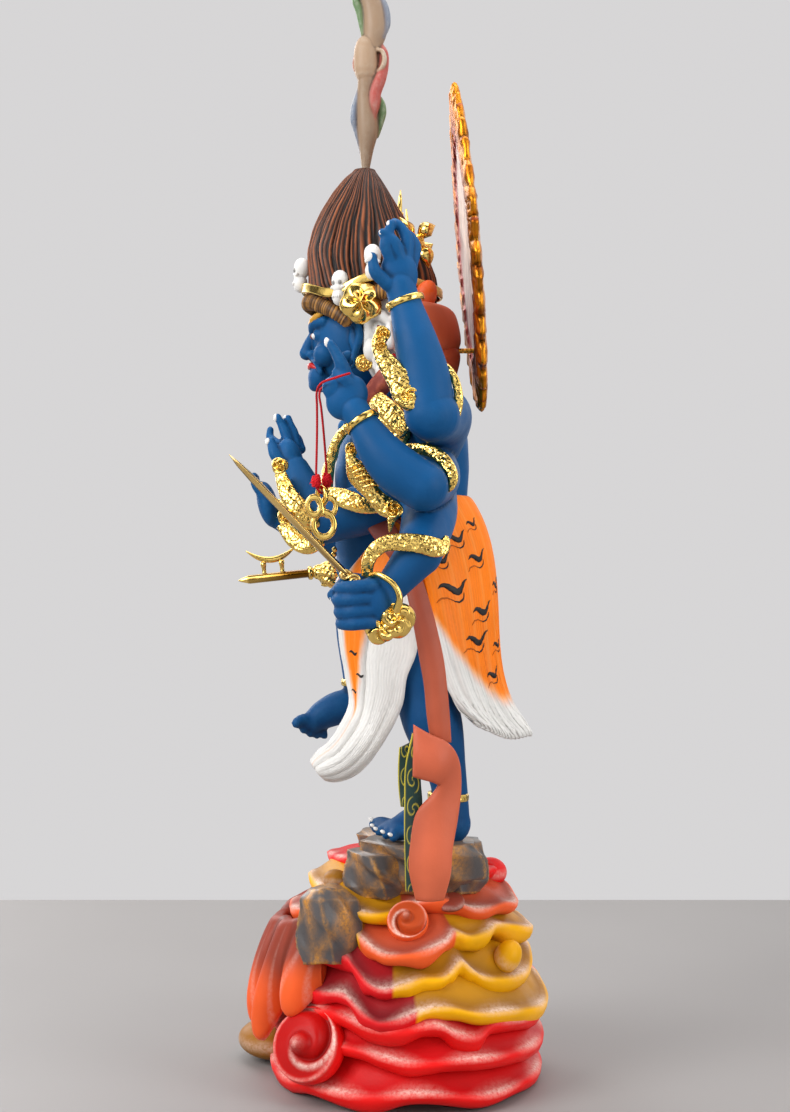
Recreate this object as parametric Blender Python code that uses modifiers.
"""A standing wrathful guardian with three heads and eight arms, on a rock over stacked clouds.

Metres, +Z up. The figure faces -Y and its left side is +X. The origin is the centre of the
underside. The figure is laid out in shares of its own height, measured from the sole it stands on:
x to its left, y to its back and z up.
"""

import math

import bmesh
import bpy
from mathutils import Matrix, Vector

# Driving dimensions
FIGURE_HEIGHT = 0.275      # sole of the standing foot to the tip of the hair
SHARES = 275               # the figure's height is divided into this many shares
BASE_HEIGHT = 0.100        # underside to the top of the rock
BASE_WIDTH = 0.120         # left to right
BASE_DEPTH = 0.126         # front to back
PLUME_HEIGHT = 0.084       # the cloud that rises from the hair
HALO_HEIGHT = 0.137
HALO_WIDTH = 0.120
HALO_THICKNESS = 0.0044
HALO_LEAN = math.radians(5.0)
HALO_SEAT_SHARE = 0.19     # height of the rod's seat on the halo, as a share of the halo
ROD_DIAMETER = 0.0022
ROD_SPAN = 0.0058          # free length between the scarf and the halo
ROD_SEAT = 0.0020          # how deep the rod goes in at each end
SWORD_LENGTH = 0.068       # guard to tip
BLADE_WIDTH = 0.0070
BLADE_THICKNESS = 0.0028
HANDLE_DIAMETER = 0.0034
HANDLE_LENGTH = 0.010
GUARD_LENGTH = 0.0075
GUARD_THICKNESS = 0.0046
HALBERD_LENGTH = 0.086
SHAFT_DIAMETER = 0.0040
CRESCENT_SPAN = 0.0230
CRESCENT_THICKNESS = 0.0028
CRESCENT_STAND = 0.0080    # shaft's axis to the middle of the crescent
TASSEL_LENGTH = 0.0120
TASSEL_DIAMETER = 0.0100
STAFF_LENGTH = 0.074
STAFF_DIAMETER = 0.0030
CORD_DIAMETER = 0.0009
NOOSE_RING = 0.0033        # middle radius of the big ring
NOOSE_WIRE = 0.0009        # radius of the noose's metal
GAP = 0.0003               # left between pieces that touch
SOCKET_REACH = 0.030       # how far a cutter for a shaft runs out of a fist
GUARD_REACH = 0.020        # how far the guard's cutter runs out of the fist
CLEARANCE = 0.010          # how far the other cutters stand out of the solid

# Fineness of the solids
FIGURE_GRAIN = 0.0011
FIGURE_FACES = 4000
BASE_GRAIN = 0.0020
BASE_FACES = 1850
PLUME_GRAIN = 0.0009
PLUME_FACES = 400

SHARE = FIGURE_HEIGHT / SHARES

for old in list(bpy.data.objects):
    bpy.data.objects.remove(old, do_unlink=True)

STATUE = bpy.data.collections.new("ucchusma_statue")
CUTTERS = bpy.data.collections.new("cutters")
bpy.context.scene.collection.children.link(STATUE)
bpy.context.scene.collection.children.link(CUTTERS)


def spot(x, y, z):
    """A place on the figure, from shares to metres."""
    return Vector((x * SHARE, y * SHARE, BASE_HEIGHT + z * SHARE))


def flip(points):
    """The same places on the figure's other side."""
    return [(-x, y, z) for x, y, z in points]


def paint(name, colour, roughness, metallic=0.0):
    """A plain finish with one colour."""
    material = bpy.data.materials.new(name)
    material.use_nodes = True
    shader = material.node_tree.nodes["Principled BSDF"]
    shader.inputs["Base Color"].default_value = (*colour, 1.0)
    shader.inputs["Roughness"].default_value = roughness
    shader.inputs["Metallic"].default_value = metallic
    return material


def wrap(name, mesh, collection):
    """Put a mesh in the scene as a named object."""
    thing = bpy.data.objects.new(name, mesh)
    collection.objects.link(thing)
    return thing


def evaluated(thing):
    """The object's mesh with its modifiers done, in world places."""
    bpy.context.view_layer.update()
    graph = bpy.context.evaluated_depsgraph_get()
    mesh = bpy.data.meshes.new_from_object(thing.evaluated_get(graph), depsgraph=graph)
    mesh.transform(thing.matrix_world)
    return mesh


def tube_mesh(points, radii, sides=8, smooth=True, closed=False):
    """A round bar through points in metres, with a radius at each point, as a closed mesh."""
    data = bpy.data.curves.new("bar", "CURVE")
    data.dimensions = "3D"
    data.bevel_depth = 1.0
    data.bevel_resolution = (sides - 4) // 2
    data.use_fill_caps = not closed
    data.resolution_u = 3
    spline = data.splines.new("BEZIER" if smooth else "POLY")
    knots = spline.bezier_points if smooth else spline.points
    knots.add(len(points) - 1)
    for knot, point, radius in zip(knots, points, radii):
        if smooth:
            knot.co = point
            knot.handle_left_type = "AUTO"
            knot.handle_right_type = "AUTO"
        else:
            knot.co = (*point, 1.0)
        knot.radius = radius
    spline.use_cyclic_u = closed
    guide = wrap("bar", data, CUTTERS)
    mesh = evaluated(guide)
    bpy.data.objects.remove(guide, do_unlink=True)
    form = bmesh.new()
    form.from_mesh(mesh)
    bmesh.ops.remove_doubles(form, verts=form.verts, dist=1e-6)
    bmesh.ops.recalc_face_normals(form, faces=form.faces)
    form.to_mesh(mesh)
    form.free()
    return mesh


class Clay:
    """Closed forms gathered in one mesh, to be fused into a single casting."""

    def __init__(self):
        self.form = bmesh.new()

    def add(self, mesh):
        self.form.from_mesh(mesh)
        bpy.data.meshes.remove(mesh)

    def bar(self, points, radii, sides=8, smooth=True, closed=False):
        """A tapering round bar, in shares of the figure."""
        places = [spot(*point) for point in points]
        self.add(tube_mesh(places, [radius * SHARE for radius in radii], sides, smooth, closed))

    def ball(self, centre, radii, turn=(0, 0, 0), segments=12, rings=8):
        """An egg with three radii, in shares of the figure."""
        place = Matrix.Translation(spot(*centre))
        for axis, angle in zip("XYZ", turn):
            place = place @ Matrix.Rotation(math.radians(angle), 4, axis)
        size = Matrix.Diagonal((*[radius * SHARE for radius in radii], 1.0))
        bmesh.ops.create_uvsphere(self.form, u_segments=segments, v_segments=rings, radius=1.0,
                                  matrix=place @ size)

    def loft(self, rings):
        """A closed skin over rings of places in metres that all have the same count."""
        rows = [[self.form.verts.new(place) for place in ring] for ring in rings]
        count = len(rows[0])
        faces = [self.form.faces.new(list(reversed(rows[0]))), self.form.faces.new(rows[-1])]
        for lower, upper in zip(rows, rows[1:]):
            for i in range(count):
                j = (i + 1) % count
                faces.append(self.form.faces.new((lower[i], lower[j], upper[j], upper[i])))
        bmesh.ops.recalc_face_normals(self.form, faces=faces)

    def sheet(self, surface, across, down, thickness):
        """A sheet with a thickness: surface gives a place in shares for two numbers from 0 to 1."""
        data = bpy.data.meshes.new("sheet")
        places = [spot(*surface(i / across, j / down)) for j in range(down + 1) for i in range(across + 1)]
        row = across + 1
        faces = [(j * row + i, j * row + i + 1, (j + 1) * row + i + 1, (j + 1) * row + i)
                 for j in range(down) for i in range(across)]
        data.from_pydata(places, [], faces)
        guide = wrap("sheet", data, CUTTERS)
        wall = guide.modifiers.new("wall", "SOLIDIFY")
        wall.thickness = thickness * SHARE
        wall.offset = 0.0
        self.add(evaluated(guide))
        bpy.data.objects.remove(guide, do_unlink=True)

    def cast(self, name, grain, faces):
        """Fuse the forms into one closed body with about the given number of triangles."""
        data = bpy.data.meshes.new(name)
        self.form.to_mesh(data)
        self.form.free()
        guide = wrap(name + "_clay", data, CUTTERS)
        melt = guide.modifiers.new("melt", "REMESH")
        melt.mode = "VOXEL"
        melt.voxel_size = grain
        melted = evaluated(guide)
        bpy.data.objects.remove(guide, do_unlink=True)
        guide = wrap(name + "_clay", melted, CUTTERS)
        thin = guide.modifiers.new("thin", "DECIMATE")
        thin.ratio = min(1.0, faces / (2 * len(melted.polygons)))
        thin.use_collapse_triangulate = True
        mesh = evaluated(guide)
        bpy.data.objects.remove(guide, do_unlink=True)
        keep_outer_skin(mesh)
        mesh.name = name
        return wrap(name, mesh, STATUE)


def keep_outer_skin(mesh):
    """Remove closed pockets and crumbs, so that only the largest skin is left."""
    form = bmesh.new()
    form.from_mesh(mesh)
    unseen = set(form.verts)
    islands = []
    while unseen:
        front = [unseen.pop()]
        island = list(front)
        while front:
            for edge in front.pop().link_edges:
                for vert in edge.verts:
                    if vert in unseen:
                        unseen.remove(vert)
                        front.append(vert)
                        island.append(vert)
        islands.append(island)
    islands.sort(key=len)
    crumbs = [vert for island in islands[:-1] for vert in island]
    bmesh.ops.delete(form, geom=crumbs, context="VERTS")
    form.to_mesh(mesh)
    form.free()


def cutter(name, mesh):
    """A hidden solid that only cuts others."""
    thing = wrap(name, mesh, CUTTERS)
    thing.hide_render = True
    thing.display_type = "WIRE"
    return thing


def cut(thing, tool):
    """Cut one solid out of another, exactly."""
    saw = thing.modifiers.new("cut_" + tool.name, "BOOLEAN")
    saw.operation = "DIFFERENCE"
    saw.solver = "EXACT"
    saw.object = tool


def block(name, low, high):
    """A box between two corners, as a cutter."""
    mesh = bpy.data.meshes.new(name)
    form = bmesh.new()
    low, high = Vector(low), Vector(high)
    place = Matrix.Translation((low + high) / 2) @ Matrix.Diagonal((*(high - low), 1.0))
    bmesh.ops.create_cube(form, size=1.0, matrix=place)
    form.to_mesh(mesh)
    form.free()
    return cutter(name, mesh)


def finish(thing, material, angle=40):
    """Give an object its finish and round shading."""
    thing.data.materials.clear()
    thing.data.materials.append(material)
    thing.data.shade_smooth()
    thing.data.set_sharp_from_angle(angle=math.radians(angle))
    return thing


# Places where the figure holds or carries another piece, in shares
SWORD_HAND = (88.0, -12.5, 101.5)
SWORD_AIM = Vector((12.0, -46.0, 47.5)).normalized()
HALBERD_HAND = (-75.0, -9.5, 110.5)
HALBERD_DIP = math.radians(6.2)
HALBERD_AIM = Vector((0.0, -math.cos(HALBERD_DIP), -math.sin(HALBERD_DIP)))
HALBERD_REACH = 0.0632     # fist to the halberd's tip
STAFF_HAND = (-75.0, 0.0, 220.0)
STAFF_TILT = math.radians(2.3)
STAFF_AIM = Vector((0.0, math.sin(STAFF_TILT), math.cos(STAFF_TILT)))
STAFF_BELOW = 0.0100       # butt of the staff below the fist's middle
SCARF_BACK = (0.0, 26.0, 200.0)
HAIR_TIP = (0.0, -11.7, 275.0)


def fingers_open(clay, wrist, palm, tips, girth):
    """An open hand: a palm and a finger to each tip."""
    clay.bar([wrist, palm], [girth * 2.1, girth * 2.6])
    clay.ball(palm, (girth * 2.2, girth * 2.4, girth * 2.9))
    for tip in tips:
        middle = tuple(0.5 * a + 0.5 * b for a, b in zip(palm, tip))
        clay.bar([palm, middle, tip], [girth * 1.15, girth, girth * 0.72], sides=6)


def fist(clay, centre, side):
    """A closed hand with four stacked fingers and a thumb; side is 1 on the left, -1 on the right."""
    x, y, z = centre
    clay.ball(centre, (7.5, 10.5, 9.5))
    for i in range(4):
        level = z + 6.3 - 4.3 * i
        bend = [(x + side * 4, y + 9, level), (x + side * 8, y + 2, level), (x + side * 7.5, y - 6, level),
                (x + side * 2, y - 10, level), (x - side * 5, y - 6, level)]
        clay.bar(bend, [2.6, 2.8, 2.8, 2.5, 2.2], sides=6)
    clay.bar([(x - side * 3, y + 4, z + 7), (x - side * 1, y - 6, z + 8.5), (x, y - 12, z + 3)],
             [3.2, 2.8, 2.2], sides=6)


def torso(clay):
    """Hips to neck: egg-shaped sections, fullest at the belly and the chest."""
    sections = [(84, 5, 20, 18), (95, 6, 26, 24), (110, 4, 26, 25), (122, 3, 25, 25), (135, 3, 26, 28),
                (150, 3, 31, 29), (163, 4, 34, 27), (172, 6, 32, 22), (180, 4, 20, 16), (190, 2, 14, 14)]
    rings = []
    for z, middle, half_width, half_depth in sections:
        ring = []
        for i in range(20):
            angle = math.tau * i / 20
            ring.append(spot(half_width * math.cos(angle), middle + half_depth * math.sin(angle), z))
        rings.append(ring)
    clay.loft(rings)


def face(clay, turn, out):
    """One head looking along a turn about the upright: skull, brow, nose, cheeks, lips, chin and ears."""
    angle = math.radians(turn)

    def toward(side, ahead, up):
        x = side * math.cos(angle) + ahead * math.sin(angle)
        y = side * math.sin(angle) - ahead * math.cos(angle)
        return (x, y, up)

    clay.ball(toward(0, out, 203), (17.5, 17.5, 21), segments=16, rings=10)
    clay.bar([toward(-10, out + 13, 209.5), toward(0, out + 17.5, 206.5), toward(10, out + 13, 209.5)],
             [1.6, 2.4, 1.6], sides=6)
    clay.bar([toward(0, out + 15.5, 206), toward(0, out + 19, 199.5), toward(0, out + 16, 197.5)],
             [2.0, 3.2, 2.4], sides=6)
    clay.ball(toward(0, out + 13, 188), (8.5, 5.5, 6), segments=10, rings=6)
    for side in (-1, 1):
        clay.ball(toward(side * 3.6, out + 16.8, 198), (2.2, 2.2, 2.0), segments=8, rings=6)
        clay.ball(toward(side * 9.5, out + 11, 196.5), (5, 5, 5), segments=10, rings=6)
        clay.ball(toward(side * 17.5, out + 1.5, 200.5), (2.4, 3.2, 7), segments=8, rings=6)
    clay.bar([toward(-6, out + 14.5, 191.5), toward(0, out + 18, 193.5), toward(6, out + 14.5, 191.5)],
             [1.1, 1.8, 1.1], sides=6)
    clay.bar([toward(-5, out + 14.5, 189), toward(0, out + 17.5, 187.5), toward(5, out + 14.5, 189)],
             [1.1, 1.8, 1.1], sides=6)


def hair(clay):
    """The upswept hair: a leaning cone whose rim is fluted into locks that meet at the tip."""
    locks = 14
    sections = [(214, -6, 24, 23), (222, -10, 27.5, 27.5), (234, -11.5, 27, 27), (243, -12.5, 24.5, 25),
                (253, -13.5, 19.5, 20), (262, -13.8, 13.5, 13.8), (270, -12.8, 7.2, 7.2),
                (275, -11.7, 3.2, 3.2)]
    rings = []
    for level, (z, middle, half_width, half_depth) in enumerate(sections):
        ring = []
        for i in range(locks * 4):
            angle = math.tau * i / (locks * 4)
            flute = 1.0 + 0.075 * math.cos(locks * angle + 0.9 * level)
            ring.append(spot(half_width * flute * math.cos(angle),
                             middle + half_depth * flute * math.sin(angle), z))
        rings.append(ring)
    clay.loft(rings)


def crown(clay):
    """A gold band with five small skulls, side rosettes and hair jewels."""
    band = []
    for i in range(16):
        angle = math.tau * i / 16
        band.append((28.5 * math.cos(angle), -10 + 28.5 * math.sin(angle), 220.5 - 4.5 * math.sin(angle)))
    clay.bar(band, [1.7] * 16, sides=6, closed=True)
    skulls = [(0, -39, 230), (24, -24, 224), (-24, -24, 224), (31, -9, 230.5), (-31, -9, 230.5)]
    for x, y, z in skulls:
        clay.ball((x, y, z), (4.0, 3.8, 5.2), segments=10, rings=8)
        clay.ball((x * 1.04, y * 1.03 - 0.5, z - 5.0), (2.6, 2.4, 2.4), segments=8, rings=6)
    for side in (-1, 1):
        clay.ball((side * 30, -11.5, 216), (4, 7.2, 7.6), segments=10, rings=8)
        clay.ball((side * 31, -19.5, 216.5), (3, 3.2, 3.4), segments=8, rings=6)
        clay.ball((side * 17.5, 9, 241), (4, 5.5, 6.5), turn=(20, 0, 0), segments=10, rings=8)
        clay.ball((side * 20, -11.5, 191.8), (2.6, 3.7, 3.7), segments=10, rings=8)


def raised_arm(clay, mirror, grips):
    """The highest arm: out from the shoulder and straight up, with a snake round the elbow."""
    side = (lambda points: flip(points)) if mirror else (lambda points: points)
    clay.bar(side([(24, 16, 162), (52, 18, 167), (84, 14, 164)]), [12.5, 11.5, 9.5])
    clay.ball(side([(84, 14, 165)])[0], (9.6, 9.8, 9.6))
    clay.bar(side([(84, 14, 165), (80, 9.5, 184), (76, 3.5, 206), (75.5, 2, 212)]), [9.6, 9.2, 6.2, 5.8])
    clay.bar(side([(83.5, 1.5, 205.5), (76, -3.6, 204), (69, 4, 207), (76, 11.5, 209), (83.5, 1.5, 205.5)]),
             [1.2] * 5, sides=6)
    if grips:
        fist(clay, side([(75, 0, 220)])[0], -1 if mirror else 1)
    else:
        tips = [(75, -5, 236), (78.5, -6.5, 233), (72, -2, 233.5), (70, 2.5, 231.5), (78, -8.5, 223)]
        fingers_open(clay, side([(75.5, 2, 210)])[0], side([(75, 0.5, 220)])[0], side(tips), 2.5)
    snake(clay, side([(60, 17, 188), (66, 25, 174), (80, 23, 161), (92, 11, 159), (93, 2, 168),
                      (88, -4, 184), (82, -8.5, 196)]))


def blessing_arm(clay, mirror):
    """The second arm: the forearm slants up and forward, with the first finger raised."""
    side = (lambda points: flip(points)) if mirror else (lambda points: points)
    clay.bar(side([(24, 13, 150), (54, 17, 145), (87, 13, 139)]), [12, 11.5, 9.5])
    clay.ball(side([(88, 12, 140)])[0], (9.6, 10, 9.6))
    clay.bar(side([(88, 12, 140), (86.5, 1, 151), (83.5, -12.5, 164), (82.5, -15, 168)]),
             [9.6, 9.2, 6.4, 5.8])
    clay.bar(side([(91.5, -13, 162.5), (84, -19.5, 160), (76, -12, 163.5), (83, -6, 167), (91.5, -13, 162.5)]),
             [1.2] * 5, sides=6)
    clay.bar(side([(82.5, -15, 168), (81, -20.0, 177.5)]), [5.6, 5.6])
    clay.ball(side([(80.5, -20.0, 178)])[0], (5.2, 5.2, 6.2))
    clay.bar(side([(81, -21, 180), (80.5, -23, 187), (80, -24, 192)]), [2.3, 2.1, 1.7], sides=6)
    clay.bar(side([(78, -20, 181), (78.5, -21.5, 186), (79.5, -18.5, 187)]), [2.3, 2.1, 1.7], sides=6)
    snake(clay, side([(58, 6, 160), (64, 18, 153), (74, 24, 140), (86, 22, 130), (95, 10, 126),
                      (96, -1, 131), (94, -10, 143), (92, -16, 152)]))


def lower_arm(clay, mirror):
    """The third arm: bent at the hip with a fist that grips a weapon."""
    side = (lambda points: flip(points)) if mirror else (lambda points: points)
    grip = HALBERD_HAND if mirror else (88.0, -10.5, 96.0)
    elbow = side([(82, 13, 108)])[0]
    clay.bar([side([(26, 13, 136)])[0], side([(54, 18, 124)])[0], elbow], [12, 11, 9.4])
    clay.ball(elbow, (9.6, 9.6, 9.6))
    wrist = (grip[0] - 2 * grip[0] / abs(grip[0]), grip[1] + 9.5, grip[2] + 2)
    clay.bar([elbow, wrist], [9.2, 6.4])
    fist(clay, grip, -1 if mirror else 1)
    clay.bar(side([(66, 2, 119), (72, -8, 117), (80, -12, 109), (86, -14, 105)]),
             [2.0, 3.4, 3.4, 2.2], sides=8)
    snake(clay, side([(64, 6, 119), (70, 20, 120), (80, 23, 119), (90, 17, 116), (93, 6, 117), (91, -4, 115)]),
          head=False)
    clay.bar(side([(91, -6, 108), (97, 0, 104), (98, 4, 96), (95, 3, 89)]), [1.6, 1.6, 1.8, 2.6], sides=6)
    clay.ball(side([(93, 3.5, 89)])[0], (5, 7.5, 5.5), turn=(35, 0, 0))
    clay.ball(side([(91, -8, 83.5)])[0], (4, 7, 3.6))


def front_arm(clay, mirror):
    """The lowest arm: held before the chest with the palm up, and a thick coil round it."""
    if mirror:
        clay.bar([(-22, 6, 148), (-32, -8, 134), (-35, -26, 123)], [12, 10.5, 8.6])
        clay.bar([(-35, -26, 123), (-32, -40, 127), (-29, -50, 131)], [8.4, 7.4, 5.4])
        clay.ball((-28, -55, 137), (8, 4.6, 10.5), turn=(14, 0, 0))
        tips = [(-27, -60, 147), (-24, -59, 146), (-31, -59, 145)]
        for tip in tips:
            clay.bar([(-28, -55, 138), tip], [3.0, 2.2], sides=6)
        clay.bar([(-30, -42, 120), (-38, -46, 127), (-31, -49, 136), (-22, -46, 128), (-30, -42, 120)],
                 [3.2] * 5, sides=6)
    else:
        clay.bar([(22, 6, 148), (30, -8, 135), (29, -29, 127)], [12, 10.5, 9.0])
        clay.bar([(29, -29, 127), (24, -35, 137), (19, -40, 149)], [9.0, 8.2, 5.6])
        tips = [(13, -47.5, 170.5), (10, -43.5, 170), (7.5, -50.5, 165.5), (6, -44, 165), (17, -50, 161.5)]
        fingers_open(clay, (19, -40, 147), (15.5, -43, 155), tips, 2.3)
        snake(clay, [(38, 2, 130), (38, -4, 143), (27, -14, 147), (18, -22, 139)], girth=4.6, head=False)
        snake(clay, [(36, -30, 120), (38, -36, 130), (32, -42, 140), (21, -45, 151)], girth=4.4)
        snake(clay, [(20, -26, 120), (30, -20, 117), (40, -12, 124)], girth=3.6, head=False)


def snake(clay, path, girth=4.0, head=True):
    """A snake's body along a path, thinner at the tail, with a flat head at the end."""
    last = len(path) - 1
    radii = [girth * (0.62 + 0.38 * math.sin(math.pi * (0.25 + 0.6 * i / last))) for i in range(last + 1)]
    clay.bar(path, radii)
    if head:
        clay.ball(path[-1], (girth * 0.95, girth * 1.15, girth * 1.5), turn=(-20, 0, 0), segments=10, rings=8)


def standing_leg(clay):
    """The left leg, straight under the body, with a flat foot turned out a little."""
    clay.bar([(14, 6, 96), (18, 8, 78), (22, 11, 60), (23, 15, 46), (22, 21, 26), (22, 23, 12)],
             [15, 14.5, 11.5, 11.5, 7.8, 7.2])
    clay.ball((22, 22, 6), (7.2, 8.5, 7.5))
    clay.bar([(22, 22, 6.5), (24, 8, 5.5), (26, -3, 3.5)], [6.6, 6.6, 5.2])
    for i in range(5):
        x = 34 - 4.0 * i
        clay.bar([(25 + (x - 26) * 0.5, -1, 4), (x, -7 - 1.0 * i, 3), (x, -10.5 + 0.9 * abs(i - 3), 2.4)],
                 [2.6, 2.4, 2.0], sides=6)
    clay.bar([(29.5, 22, 16), (22, 14.5, 16.5), (14.5, 22, 17), (22, 29.5, 17), (29.5, 22, 16)],
             [1.1] * 5, sides=6)


def raised_leg(clay):
    """The right leg, with the knee drawn up to the side and the foot in the air."""
    clay.bar([(-14, 5, 96), (-34, -6, 98), (-55, -16, 98)], [15, 13.5, 11])
    clay.ball((-56, -16, 97), (11, 11, 11))
    clay.bar([(-56, -16, 97), (-52, -16, 80), (-48.5, -15.5, 58), (-48, -16, 48)], [10.8, 11, 7.4, 7.0])
    clay.ball((-48, -15.5, 43), (7, 8, 8))
    clay.bar([(-48, -16, 42), (-47, -29, 41), (-46, -38, 41)], [7.0, 6.4, 5.0])
    for i in range(5):
        x = -39 - 3.6 * i
        clay.bar([(-46.5 + (x + 46) * 0.5, -36, 41), (x, -42, 40.5), (x, -46.5 + 1.0 * i, 40)], [2.5, 2.3, 1.9],
                 sides=6)
    clay.bar([(-41, -16, 58), (-48, -23.5, 58), (-56, -16, 58), (-48, -8.5, 58), (-41, -16, 58)], [1.1] * 5,
             sides=6)


def skirt_back(across, down):
    """The tiger skin behind: an arc round the hips that narrows and sweeps back as it falls."""
    reach = math.radians(100 - 62 * down ** 1.3)
    angle = (2 * across - 1) * reach
    half_width = 28 + 8 * math.sin(0.5 * math.pi * down) + 3.0 * down * down
    half_depth = 23 + 15 * down ** 0.8 + 8 * down ** 3
    fold = 1.0 + 0.055 * down * math.sin(9 * angle)
    hem = 41 + 5 * math.cos(7 * across * math.pi) * (0.4 + abs(2 * across - 1)) - 6 * (2 * across - 1)
    z = 139 + (hem - 139) * down
    return (half_width * fold * math.sin(angle), 4 + half_depth * fold * math.cos(angle), z)


def skirt_front(across, down):
    """The flap before the left thigh: it falls to a point that curls forward."""
    near = Vector((12, -23, 118)).lerp(Vector((18, -20, 60)), min(1.0, down * 1.45))
    far = Vector((31, 6, 112)).lerp(Vector((32, 1, 56)), min(1.0, down * 1.45))
    tail = max(0.0, down * 1.45 - 1.0) / 0.45
    tip = Vector((24, -33, 26))
    near = near.lerp(tip, tail ** 1.25)
    far = far.lerp(tip, tail ** 0.85)
    place = near.lerp(far, across)
    place.x += 5.0 * math.sin(math.pi * across)
    place.z -= 5.0 * math.sin(math.pi * across) * tail
    return tuple(place)


def skirt_waist(across, down):
    """The skin round the front of the hips, under the belly."""
    angle = math.radians(-110 + 220 * across)
    return ((27 + 3 * down) * math.sin(angle), 5 - (24 + 3 * down) * math.cos(angle), 113 - 28 * down)


def skirt_side(across, down):
    """The skin over the raised thigh on the right."""
    x = -14 - 36 * across
    reach = -1.15 + 2.5 * down
    y = -6 - 12 * across + 16 * math.sin(reach)
    z = 97 + 17 * math.cos(reach) - 22 * max(0.0, down - 0.6) - 4 * across
    return (x, y, z)


def ribbon(start, end, width, sweep):
    """A flat band between two spots: sweep is how far its middle bows out, width its half width."""
    def surface(across, down):
        place = Vector(start).lerp(Vector(end), down) + Vector(sweep) * math.sin(math.pi * down)
        return tuple(place + Vector(width) * (2 * across - 1))
    return surface


def scarf_tail(across, down):
    """The scarf's end, folded along its length: a far leg, a round fold behind and a near leg."""
    sway = 2.6 * math.sin(math.pi * down)
    lift = 41 - 57.6 * down
    if across < 0.45:
        far = across / 0.45
        return (46 + 3.5 * far, 2.5 + 15.5 * far + sway, lift - 3 * (1 - far) * (1 - down))
    near = (across - 0.45) / 0.55
    turn = math.pi * min(1.0, near * 2.5)
    out = max(0.0, near - 0.4) / 0.6
    return (51.5 - 2.0 * math.cos(turn), 18 + 2.4 * math.sin(turn) - 12 * out + sway, lift)


def scarf(clay):
    """The long scarf: an arch behind the heads, ends at the shoulders and the tail to the clouds."""
    def arch(across, down):
        angle = math.radians(-95 + 190 * across)
        swell = 3.0 * math.sin(math.pi * down)
        return ((32 + swell) * math.sin(angle), 4 + (18 + swell) * math.cos(angle), 187 + 28 * down)
    clay.sheet(arch, 14, 4, 4.2)
    for side in (-1, 1):
        clay.bar([(side * 32, 6, 192), (side * 30, -3, 185), (side * 22, -9, 176), (side * 27, 4, 168)],
                 [3.0, 4.2, 3.6, 3.0])
    clay.sheet(ribbon((25, -6, 132), (30, 8, 108), (-2, 6, 3), (7, 0, 0)), 2, 4, 2.2)
    clay.sheet(ribbon((36, 9, 108), (52, 17, 46), (1, 5.2, -0.5), (7, -3, 0)), 2, 8, 2.4)
    clay.sheet(ribbon((47, 9, 50), (53, 17.5, 40), (2.5, 5.5, -6), (6, 2, 2)), 2, 5, 2.4)
    clay.sheet(scarf_tail, 10, 10, 2.4)


def garlands(clay):
    """Bead rope, collar plate, chest chain and belt."""
    clay.bar([(22, 2, 174), (10, -17, 167), (4, -26.5, 158), (2, -29, 146), (6, -26, 134)],
             [2.4] * 5, sides=6)
    clay.bar([(-22, 2, 174), (-10, -17, 167), (-2, -25, 160)], [2.4] * 3, sides=6)
    clay.ball((25, 3, 165), (9, 9, 8), turn=(0, 20, 0))
    clay.bar([(-6, -22, 126), (0, -24, 118), (8, -22, 112)], [1.6] * 3, sides=6)
    clay.bar([(x * 27, 4 + y * 25, 112) for x, y in
              [(math.cos(math.tau * i / 12), math.sin(math.tau * i / 12)) for i in range(12)]],
             [2.4] * 12, sides=6, closed=True)


def along(origin, aim, roll=0.0):
    """A frame at a place with its z along an aim."""
    turn = aim.to_track_quat("Z", "X").to_matrix().to_4x4()
    return Matrix.Translation(origin) @ turn @ Matrix.Rotation(roll, 4, "Z")


def rod_mesh(start, end, radius, sides=12, top=None):
    """A straight round bar between two places; top is the radius at its far end."""
    aim = end - start
    mesh = bpy.data.meshes.new("rod")
    form = bmesh.new()
    place = along((start + end) / 2, aim.normalized())
    bmesh.ops.create_cone(form, cap_ends=True, segments=sides, radius1=radius,
                          radius2=radius if top is None else top, depth=aim.length, matrix=place)
    form.to_mesh(mesh)
    form.free()
    return mesh


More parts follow.
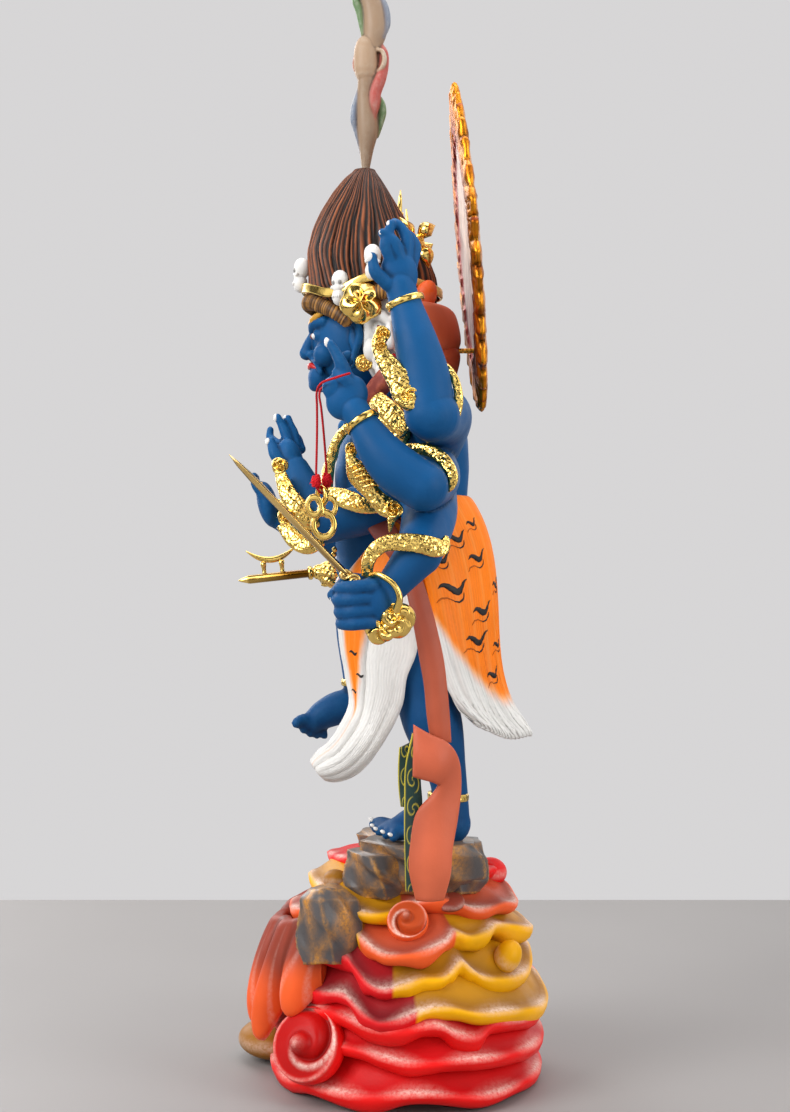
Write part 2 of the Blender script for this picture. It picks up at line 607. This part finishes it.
def build_figure():
    """The whole guardian as one casting, with its sockets and its flat sole cut."""
    clay = Clay()
    torso(clay)
    clay.ball((0, 0, 203), (22, 19, 20), segments=16, rings=10)
    face(clay, 0, 17)
    face(clay, 82, 13)
    face(clay, -82, 13)
    hair(clay)
    crown(clay)
    for mirror in (False, True):
        raised_arm(clay, mirror, grips=mirror)
        blessing_arm(clay, mirror)
        lower_arm(clay, mirror)
        front_arm(clay, mirror)
    standing_leg(clay)
    raised_leg(clay)
    clay.sheet(skirt_back, 20, 12, 4.0)
    clay.sheet(skirt_front, 6, 12, 3.6)
    clay.sheet(skirt_side, 6, 8, 4.0)
    clay.sheet(skirt_waist, 14, 4, 3.6)
    scarf(clay)
    garlands(clay)
    figure = clay.cast("figure", FIGURE_GRAIN, FIGURE_FACES)

    low = spot(-5, -30, -6)
    high = spot(44, 44, 0)
    cut(figure, block("sole_cutter", low, (high.x, high.y, BASE_HEIGHT + GAP)))
    guard = spot(*SWORD_HAND)
    hole = rod_mesh(guard - SWORD_AIM * (HANDLE_LENGTH + GAP), guard + SWORD_AIM * GUARD_REACH,
                    HANDLE_DIAMETER / 2 + GAP)
    cut(figure, cutter("sword_socket", hole))
    seat = rod_mesh(guard - SWORD_AIM * GAP, guard + SWORD_AIM * GUARD_REACH, GUARD_THICKNESS / 2 + 0.0016)
    cut(figure, cutter("guard_seat", seat))
    grip = spot(*HALBERD_HAND)
    reach = HALBERD_AIM * SOCKET_REACH
    hole = rod_mesh(grip - reach, grip + reach, SHAFT_DIAMETER / 2 + GAP)
    cut(figure, cutter("halberd_socket", hole))
    grip = spot(*STAFF_HAND)
    reach = STAFF_AIM * SOCKET_REACH
    hole = rod_mesh(grip - reach, grip + reach, STAFF_DIAMETER / 2 + GAP)
    cut(figure, cutter("staff_socket", hole))
    back = spot(*SCARF_BACK)
    inner = back - Vector((0, ROD_SEAT + GAP, 0))
    hole = rod_mesh(inner, back + Vector((0, CLEARANCE, 0)), ROD_DIAMETER / 2 + GAP)
    cut(figure, cutter("rod_socket", hole))
    tip = spot(*HAIR_TIP)
    low = tip + Vector((-CLEARANCE, -CLEARANCE, -GAP))
    cut(figure, block("tip_cutter", low, tip + Vector((CLEARANCE,) * 3)))
    return finish(figure, paint("blue_skin", (0.010, 0.090, 0.270), 0.55))


def cloud_layer(clay, centre, half_x, half_y, rim, rise, lip, lobes, phase):
    """A domed cloud: its middle stands a rise above the lobed rim, whose round lip rolls under."""
    rings = []
    profile = [(0.30, 1.00), (0.62, 0.62), (0.84, 0.22), (0.95, 0.04), (1.0, -0.02), (1.015, -0.5),
               (0.965, -1.0), (0.70, -1.05)]
    count = 56
    for reach, level in profile:
        ring = []
        for i in range(count):
            angle = math.tau * i / count
            lobe = 0.90 + 0.14 * abs(math.sin(0.5 * lobes * angle + phase))
            ripple = 0.45 * lip * math.sin(lobes * angle + 2.2 * phase) * reach ** 3
            height = rim + ripple + (rise * level if level > 0 else lip * level)
            ring.append(Vector((centre[0] + half_x * reach * lobe * math.cos(angle),
                                centre[1] + half_y * reach * lobe * math.sin(angle), height)))
        rings.append(ring)
    clay.loft(rings)


def curl(clay, centre, radius, lie, girth):
    """A cloud's spiral end: a bar that winds in to a knob; lie is the way that its axis points."""
    axis = Vector(lie).normalized()
    frame = along(Vector(centre), axis)
    points = []
    radii = []
    for i in range(13):
        turn = i / 12
        reach = radius * (1.0 - 0.78 * turn)
        angle = 1.35 * math.tau * turn
        points.append(frame @ Vector((reach * math.cos(angle), reach * math.sin(angle), 0.004 * turn)))
        radii.append(girth * (1.0 - 0.25 * turn))
    clay.add(tube_mesh(points, radii, sides=6))


def build_base():
    """Stacked clouds with curled ends, and the rocks on them, as one casting."""
    clay = Clay()
    x, y, z = BASE_WIDTH / 2, BASE_DEPTH / 2, BASE_HEIGHT
    layers = [
        (0.00, 0.10, 0.90, 0.83, 0.12, 0.14, 0.14, 7, 0.3),
        (0.00, 0.06, 0.98, 0.93, 0.24, 0.15, 0.09, 8, 1.2),
        (0.00, 0.06, 1.00, 0.96, 0.36, 0.15, 0.08, 7, 2.1),
        (0.00, 0.04, 0.97, 0.95, 0.47, 0.15, 0.08, 8, 0.7),
        (0.00, 0.02, 0.92, 0.93, 0.57, 0.14, 0.08, 6, 1.7),
        (0.03, 0.05, 0.86, 0.80, 0.67, 0.13, 0.08, 7, 0.4),
        (0.10, 0.12, 0.74, 0.65, 0.76, 0.12, 0.07, 5, 2.6),
        (0.24, 0.14, 0.60, 0.48, 0.84, 0.08, 0.07, 5, 1.1),
    ]
    for side, back, wide, deep, rim, rise, lip, lobes, phase in layers:
        cloud_layer(clay, (side * x, back * y), x * wide, y * deep, z * rim, z * rise, z * lip, lobes, phase)
    curl(clay, (0.86 * x, -0.56 * y, 0.27 * z), 0.20 * y, (1, -0.5, 0.25), 0.060 * z)
    curl(clay, (0.84 * x, 0.06 * y, 0.70 * z), 0.15 * y, (1, 0, 0.7), 0.050 * z)
    curl(clay, (0.70 * x, 0.62 * y, 0.52 * z), 0.14 * y, (1, 0.8, 0.4), 0.050 * z)
    curl(clay, (-0.80 * x, -0.30 * y, 0.38 * z), 0.20 * y, (-1, -0.4, 0.2), 0.060 * z)
    curl(clay, (-0.30 * x, 0.86 * y, 0.40 * z), 0.18 * y, (-0.3, 1, 0.2), 0.055 * z)
    curl(clay, (0.10 * x, -0.90 * y, 0.48 * z), 0.16 * y, (0.1, -1, 0.3), 0.055 * z)
    for step in range(4):
        side = -0.62 - 0.10 * step
        clay.add(tube_mesh([Vector((x * (0.60 - 0.35 * step), y * side, 0.62 * z)),
                            Vector((x * (0.66 - 0.36 * step), y * (side - 0.10), 0.45 * z)),
                            Vector((x * (0.66 - 0.34 * step), y * (side - 0.06), 0.24 * z))],
                           [0.05 * z, 0.09 * z, 0.06 * z], sides=6))
    for centre, size, turn in [((0.36, 0.12, 0.86), (0.42, 0.44, 0.17), 10),
                               ((0.46, -0.10, 0.82), (0.36, 0.30, 0.13), -20),
                               ((0.78, -0.44, 0.62), (0.17, 0.20, 0.15), 25)]:
        middle = (centre[0] * x, centre[1] * y, centre[2] * z)
        rock(clay, middle, (size[0] * x, size[1] * y, size[2] * z), turn)
    base = clay.cast("cloud_base", BASE_GRAIN, BASE_FACES)
    reach = BASE_WIDTH + BASE_DEPTH
    cut(base, block("floor_cutter", (-reach, -reach, -reach), (reach, reach, 0.0)))
    cut(base, block("rock_cutter", (-reach, -reach, z), (reach, reach, reach)))
    foot = spot(54, 13.2, -17)
    cut(base, block("scarf_seat", (foot.x - 0.012, foot.y - 0.013, foot.z - GAP),
                    (foot.x + 0.02, foot.y + 0.013, foot.z + 0.03)))
    return finish(base, paint("cloud_red", (0.55, 0.02, 0.02), 0.5), angle=50)


def rock(clay, centre, size, turn):
    """A broken boulder: a stretched six-sided drum with a chipped waist."""
    rings = []
    for z, reach, twist in [(-1.0, 0.86, 0), (-0.35, 1.06, 12), (0.45, 0.98, -8), (1.25, 0.80, 6)]:
        ring = []
        for i in range(12):
            angle = math.tau * i / 12 + math.radians(turn + twist)
            chip = 1.0 + 0.13 * math.cos(3 * angle) + 0.06 * math.sin(5 * angle)
            ring.append(Vector((centre[0] + size[0] * reach * chip * math.cos(angle),
                                centre[1] + size[1] * reach * chip * math.sin(angle),
                                centre[2] + size[2] * z)))
        rings.append(ring)
    clay.loft(rings)


def build_plume():
    """The cloud that rises from the hair's tip: a stem, curls to both sides and a rounded head."""
    clay = Clay()
    tip = spot(*HAIR_TIP)
    unit = PLUME_HEIGHT / 84

    def at(x, y, z):
        return tip + Vector((x, y, z)) * unit

    def strand(points, radii):
        clay.add(tube_mesh([at(*point) for point in points], [radius * unit for radius in radii], sides=8))

    strand([(0, 0, 0.6), (0, 0.2, 10), (0, 0.6, 20), (0, 1.5, 30)], [2.3, 3.0, 4.8, 5.0])
    strand([(0, -2, 18), (1.5, -4.2, 24), (1.5, -4.6, 31), (1, -2.6, 36), (0, 0.2, 34)],
           [3.0, 3.6, 3.4, 3.0, 2.2])
    strand([(0, 3, 20), (-1.5, 5.4, 26), (-1.5, 5.2, 32), (-1, 2.6, 34)], [2.6, 3.4, 3.0, 2.2])
    strand([(0, 0.5, 28), (0, 1.5, 40), (0, 1.0, 52), (0, 2.2, 62)], [5.2, 5.6, 4.8, 4.4])
    strand([(0, 3, 38), (2.5, 6.6, 43), (2.5, 5.0, 50), (2, 0.5, 50), (2.5, -1.5, 45), (2.5, 1.5, 42)],
           [3.0, 3.6, 3.6, 3.2, 2.8, 2.2])
    strand([(0, -1, 42), (-2.5, -4.4, 47), (-2.5, -2.5, 52)], [3.0, 3.4, 2.6])
    strand([(0, 2, 60), (0, -3.0, 66), (1, -5.6, 72), (1, -2.6, 77), (0, 2, 79.5)], [4.6, 4.4, 4.4, 4.2, 4.0])
    strand([(0, 2, 61), (0, 6.6, 66), (-1, 7.4, 72), (0, 4.6, 77), (0, 1, 78)], [4.4, 4.2, 4.2, 4.2, 4.0])
    strand([(0, 1, 62), (0, 1, 76)], [6.0, 5.6])
    plume = clay.cast("cloud_plume", PLUME_GRAIN, PLUME_FACES)
    cut(plume, block("plume_cutter", tip + Vector((-0.03, -0.03, -0.03)), tip + Vector((0.03, 0.03, 0))))
    return finish(plume, paint("plume_grey", (0.35, 0.38, 0.38), 0.5))


def halo_place():
    """The halo's own frame: its x to the side, its z up the leaning plate and its y to the back."""
    back = spot(*SCARF_BACK)
    seat = back + Vector((0, ROD_SPAN, 0))
    turn = Matrix.Rotation(HALO_LEAN, 4, "X")
    middle = Matrix.Translation((0, 0, HALO_HEIGHT * (0.5 - HALO_SEAT_SHARE)))
    return Matrix.Translation(seat) @ turn @ middle


def halo_outline(turn, reach=1.0):
    """The flame outline: a pointed egg whose edge breaks into tongues; turn runs from 0 to 1."""
    angle = math.tau * turn
    across = math.sin(angle)
    up = -math.cos(angle)
    point = 0.5 * HALO_HEIGHT * (up if up < 0 else up ** 1.25 if up > 0 else 0.0)
    narrow = 1.0 - 0.30 * max(0.0, up) ** 2
    tongue = abs((turn * 26) % 1.0 - 0.62) / 0.62
    flame = 1.0 - 0.075 * tongue * (1.0 if 0.02 < turn < 0.98 else 0.2)
    if abs(turn - 0.5) < 0.02:
        flame = 1.0
    return (0.5 * HALO_WIDTH * across * narrow * flame * reach, point * flame * reach)


def build_halo():
    """The flame plate behind the heads, with a thick rim, a thinner field and a seat for its rod."""
    count = 78
    place = halo_place()
    mesh = bpy.data.meshes.new("flame_halo")
    form = bmesh.new()
    field = 0.72
    levels = [(field, 0.30), (field + 0.05, 0.0), (1.0, 0.18), (1.0, 0.82), (field, 1.0)]
    rings = []
    for reach, depth in levels:
        ring = []
        for i in range(count):
            x, z = halo_outline(i / count, reach)
            ring.append(form.verts.new(place @ Vector((x, HALO_THICKNESS * depth, z))))
        rings.append(ring)
    for near, behind in zip(rings, rings[1:]):
        for i in range(count):
            j = (i + 1) % count
            form.faces.new((near[i], near[j], behind[j], behind[i]))
    for ring in (rings[0], rings[-1]):
        form.faces.new(ring)
    bmesh.ops.recalc_face_normals(form, faces=form.faces)
    bmesh.ops.triangulate(form, faces=form.faces)
    form.to_mesh(mesh)
    form.free()
    halo = wrap("flame_halo", mesh, STATUE)
    seat = place @ Vector((0, HALO_THICKNESS * 0.30, HALO_HEIGHT * (HALO_SEAT_SHARE - 0.5)))
    hole = rod_mesh(seat - Vector((0, CLEARANCE, 0)), seat + Vector((0, ROD_SEAT, 0)), ROD_DIAMETER / 2 + GAP)
    cut(halo, cutter("halo_seat", hole))
    return finish(halo, paint("flame_gold", (0.85, 0.42, 0.05), 0.3, 0.8))


def build_rod():
    """The short rod that carries the halo, seated in the scarf and in the plate."""
    back = spot(*SCARF_BACK)
    place = halo_place()
    seat = place @ Vector((0, HALO_THICKNESS * 0.30, HALO_HEIGHT * (HALO_SEAT_SHARE - 0.5)))
    start = Vector((0, back.y - ROD_SEAT, seat.z))
    end = Vector((0, seat.y + ROD_SEAT - GAP, seat.z))
    rod = wrap("halo_rod", rod_mesh(start, end, ROD_DIAMETER / 2), STATUE)
    return finish(rod, paint("rod_gold", (0.55, 0.30, 0.05), 0.35, 0.9))


def union(name, meshes):
    """Join closed meshes into one solid with exact unions."""
    first = wrap(name, meshes[0], STATUE)
    for mesh in meshes[1:]:
        other = wrap(name + "_join", mesh, CUTTERS)
        join = first.modifiers.new("join", "BOOLEAN")
        join.operation = "UNION"
        join.solver = "EXACT"
        join.object = other
        joined = evaluated(first)
        bpy.data.objects.remove(other, do_unlink=True)
        bpy.data.objects.remove(first, do_unlink=True)
        first = wrap(name, joined, STATUE)
    return first


def build_sword():
    """A straight sword: handle, guard and a blade with a ridge down each face, ending in a point."""
    guard = spot(*SWORD_HAND)
    place = along(guard, SWORD_AIM)
    stations = [(-HANDLE_LENGTH, 0.5 * HANDLE_DIAMETER, 0.5 * HANDLE_DIAMETER),
                (0.0004, 0.5 * HANDLE_DIAMETER, 0.5 * HANDLE_DIAMETER),
                (0.0006, 0.5 * GUARD_THICKNESS, 0.5 * GUARD_THICKNESS),
                (GUARD_LENGTH, 0.42 * GUARD_THICKNESS, 0.5 * GUARD_THICKNESS),
                (GUARD_LENGTH + 0.0004, 0.5 * BLADE_THICKNESS, 0.5 * BLADE_WIDTH),
                (SWORD_LENGTH - 0.011, 0.5 * BLADE_THICKNESS, 0.5 * BLADE_WIDTH),
                (SWORD_LENGTH - 0.004, 0.34 * BLADE_THICKNESS, 0.3 * BLADE_WIDTH),
                (SWORD_LENGTH, 0.08 * BLADE_THICKNESS, 0.05 * BLADE_WIDTH)]
    clay = Clay()
    rings = []
    for z, thin, wide in stations:
        ring = []
        for i in range(8):
            angle = math.tau * i / 8
            edge = 1.0 if z < GUARD_LENGTH + 0.0001 or i % 2 == 0 else 0.72
            ring.append(place @ Vector((thin * edge * math.cos(angle), wide * edge * math.sin(angle), z)))
        rings.append(ring)
    clay.loft(rings)
    mesh = bpy.data.meshes.new("sword")
    clay.form.to_mesh(mesh)
    clay.form.free()
    return finish(wrap("sword", mesh, STATUE), paint("sword_gold", (0.80, 0.60, 0.25), 0.25, 1.0))


def build_halberd():
    """A crescent axe: a round shaft with a chisel point, a crescent on two posts and a fur tassel."""
    grip = spot(*HALBERD_HAND)
    tip = grip + HALBERD_AIM * HALBERD_REACH
    butt = tip - HALBERD_AIM * HALBERD_LENGTH
    radius = SHAFT_DIAMETER / 2
    shoulder = tip - HALBERD_AIM * 0.005
    side = HALBERD_AIM.cross(Vector((1, 0, 0))).normalized()
    up = side if side.z > 0 else -side
    pieces = [rod_mesh(butt, shoulder + HALBERD_AIM * 0.0001, radius, sides=8),
              rod_mesh(shoulder, tip, radius, sides=8, top=radius * 0.12)]
    middle = tip - HALBERD_AIM * 0.0165
    for shift in (-0.0042, 0.0042):
        foot = middle + HALBERD_AIM * shift
        pieces.append(rod_mesh(foot + up * 0.0005, foot + up * (CRESCENT_STAND - 0.0002), 0.0012, sides=6))
    arc = []
    thick = []
    for i in range(9):
        turn = (i - 4) / 4
        arc.append(middle + HALBERD_AIM * (0.5 * CRESCENT_SPAN * turn)
                   + up * (CRESCENT_STAND + 0.0052 * turn * turn))
        thick.append(CRESCENT_THICKNESS * 0.5 * (1.05 - 0.85 * turn * turn))
    pieces.append(tube_mesh(arc, thick, sides=6, smooth=False))
    ring = tip - HALBERD_AIM * 0.0325
    for step in range(2):
        start = ring - HALBERD_AIM * 0.0026 * step
        pieces.append(rod_mesh(start, start - HALBERD_AIM * 0.0018, radius * 1.6, sides=10))
    top = ring - HALBERD_AIM * 0.0050
    drop = Vector((0, 0, -1))
    points = [top, top - HALBERD_AIM * 0.25 * TASSEL_LENGTH + drop * 0.0010,
              top - HALBERD_AIM * 0.55 * TASSEL_LENGTH + drop * 0.0035,
              top - HALBERD_AIM * 0.80 * TASSEL_LENGTH + drop * 0.0090]
    girth = [0.30 * TASSEL_DIAMETER, 0.50 * TASSEL_DIAMETER, 0.46 * TASSEL_DIAMETER, 0.10 * TASSEL_DIAMETER]
    pieces.append(tube_mesh(points, girth, sides=8))
    return finish(union("halberd", pieces), paint("halberd_gold", (0.80, 0.60, 0.25), 0.25, 1.0))


def build_staff():
    """A thin gold staff in the raised right hand, with a small flame-shaped head."""
    grip = spot(*STAFF_HAND)
    butt = grip - STAFF_AIM * STAFF_BELOW
    tip = butt + STAFF_AIM * STAFF_LENGTH
    radius = STAFF_DIAMETER / 2
    neck = tip - STAFF_AIM * 0.020
    side = Vector((0, 1, 0))
    pieces = [rod_mesh(butt, neck, radius, sides=8),
              rod_mesh(neck - STAFF_AIM * 0.0005, tip, radius * 0.9, sides=8, top=radius * 0.15)]
    for step in range(3):
        knob = tip - STAFF_AIM * (0.021 - 0.0045 * step)
        pieces.append(rod_mesh(knob, knob + STAFF_AIM * 0.0018, radius * (1.7 - 0.25 * step), sides=8))
    for way in (-1, 1):
        path = [neck - STAFF_AIM * 0.001, neck + STAFF_AIM * 0.004 + side * way * 0.0034,
                neck + STAFF_AIM * 0.011 + side * way * 0.0030]
        pieces.append(tube_mesh(path, [0.0010, 0.0010, 0.0003], sides=6, smooth=False))
    return finish(union("golden_staff", pieces), paint("staff_gold", (0.80, 0.60, 0.25), 0.25, 1.0))


def cord_route():
    """The cord's way: from the fingers down to the noose, round its eye and back up to the fingers."""
    route = [(88.3, -16.5, 179.6), (88.6, -21.5, 178.0), (86.0, -26.6, 176.4), (81.6, -28.6, 173.6),
             (80.6, -28.6, 168.0), (80.0, -28.6, 160.0), (79.8, -28.8, 150.0), (79.7, -29.0, 142.0),
             (79.5, -28.9, 139.2), (78.6, -27.7, 137.2), (77.2, -26.2, 136.8), (76.2, -25.2, 138.6),
             (76.1, -25.1, 142.0), (76.4, -25.6, 150.0), (76.8, -26.4, 160.0), (77.0, -27.2, 168.0),
             (76.8, -27.9, 173.2), (74.4, -26.6, 176.2), (72.6, -21.5, 177.8), (72.8, -16.5, 179.2)]
    return route


def build_cord():
    """The thin red cord that hangs over the fingers of the second left hand."""
    guide = [Vector(point) for point in cord_route()]
    points = []
    for i in range(len(guide) - 1):
        before = guide[max(i - 1, 0)]
        after = guide[min(i + 2, len(guide) - 1)]
        length = (guide[i + 1] - guide[i]).length
        steps = max(1, round(length / 2.6))
        for step in range(steps):
            t = step / steps
            points.append(0.5 * (2 * guide[i] + (guide[i + 1] - before) * t
                                 + (2 * before - 5 * guide[i] + 4 * guide[i + 1] - after) * t * t
                                 + (3 * guide[i] - 3 * guide[i + 1] + after - before) * t ** 3))
    points.append(guide[-1])
    places = [spot(*point) for point in points]
    mesh = tube_mesh(places, [CORD_DIAMETER / 2] * len(places), sides=8, smooth=False)
    return finish(wrap("red_cord", mesh, STATUE), paint("cord_red", (0.55, 0.01, 0.02), 0.7))


def ring_mesh(centre, radius, wire, axis, stretch=1.0, count=10):
    """A closed round ring of wire about an axis, longer along z where it is stretched."""
    frame = along(centre, axis)
    points = []
    for i in range(count):
        angle = math.tau * i / count
        points.append(frame @ Vector((radius * stretch * math.cos(angle), radius * math.sin(angle), 0)))
    return tube_mesh(points, [wire] * count, sides=6, smooth=False, closed=True)


def build_noose():
    """The gold noose: an eye for the cord, a bow of two loops and a ring below."""
    eye = spot(77.9, -27.0, 135.7)
    face_on = Vector((1, 0.1, 0)).normalized()
    across = Vector((-0.62, 0.78, 0)).normalized()
    pieces = [ring_mesh(eye, 0.0024, NOOSE_WIRE * 0.8, Vector((-0.68, 0.74, 0)).normalized(), 1.25)]
    below = eye - Vector((0, 0, 0.0046))
    top = below + Vector((0, 0, 0.0026))
    pieces.append(rod_mesh(top, below - Vector((0, 0, 0.0032)), NOOSE_WIRE * 1.9, sides=8))
    for way in (-1, 1):
        pieces.append(ring_mesh(below + across * way * 0.0030 + Vector((0, 0, 0.0012)), 0.0022,
                                NOOSE_WIRE * 0.85, face_on, 1.3))
    ring = below - Vector((0, -0.0008, 0.0026 + NOOSE_RING))
    pieces.append(ring_mesh(ring, NOOSE_RING, NOOSE_WIRE, face_on, 1.12, count=14))
    return finish(union("noose", pieces), paint("noose_gold", (0.80, 0.60, 0.25), 0.25, 1.0))


build_base()
build_figure()
build_plume()
build_halo()
build_rod()
build_sword()
build_halberd()
build_staff()
build_cord()
build_noose()
